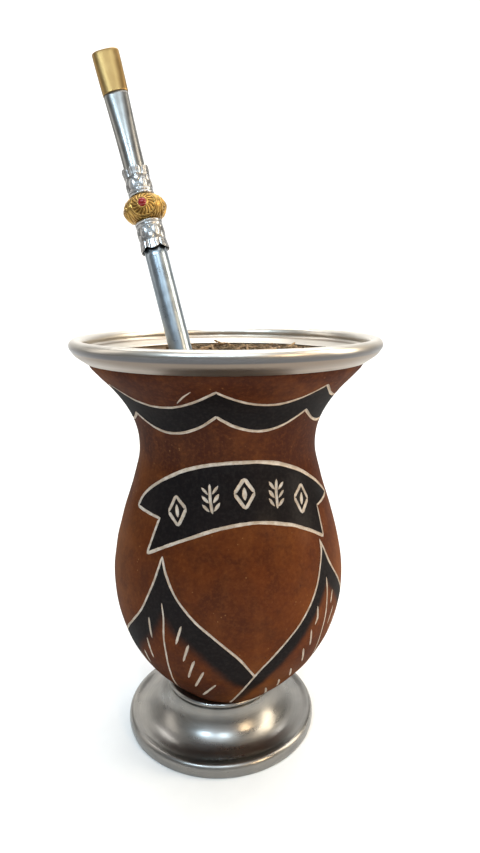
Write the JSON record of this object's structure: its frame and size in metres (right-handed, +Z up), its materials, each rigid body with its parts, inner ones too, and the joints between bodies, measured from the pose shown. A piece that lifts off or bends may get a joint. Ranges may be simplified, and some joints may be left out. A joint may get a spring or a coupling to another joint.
{
  "type": "filled mate gourd cup with straw",
  "caption": "Waisted gourd cup with metal lip and foot, filled with mate leaves and infusion, with a leaning metal straw resting in it",
  "frame": {"origin": "on the table, under the centre of the cup's lip; the foot's axis stands 3.4 mm to the left of it", "axes": "+Z up; the viewer is on the -Y side, and the straw leans towards -X and a little towards +Y"},
  "size_m": [0.11, 0.11, 0.2521],
  "materials": {
    "gourd_shell": "varnished reddish-brown dried gourd with pale incised lines and burnt dark fields",
    "lip_metal": "satin aluminium",
    "foot_metal": "satin spun aluminium",
    "leaves": null,
    "infusion": null,
    "straw_metal": "polished white metal with fine scratches",
    "straw_collars": "embossed white metal with darkened recesses",
    "gold_ball": "gold-coloured ribbed ball",
    "red_stone": "polished red glass stone",
    "gold_mouthpiece": "polished gold-coloured metal"
  },
  "bodies": {
    "root": {"gourd": "gourd_shell", "rim": "lip_metal", "foot": "foot_metal", "yerba": "leaves", "infusion": "infusion", "straw_tube": "straw_metal", "straw_collar_lower": "straw_collars", "straw_ball": "gold_ball", "straw_stone": "red_stone", "straw_collar_upper": "straw_collars", "straw_neck": "straw_metal", "mouthpiece": "gold_mouthpiece"}
  },
  "joints": []
}
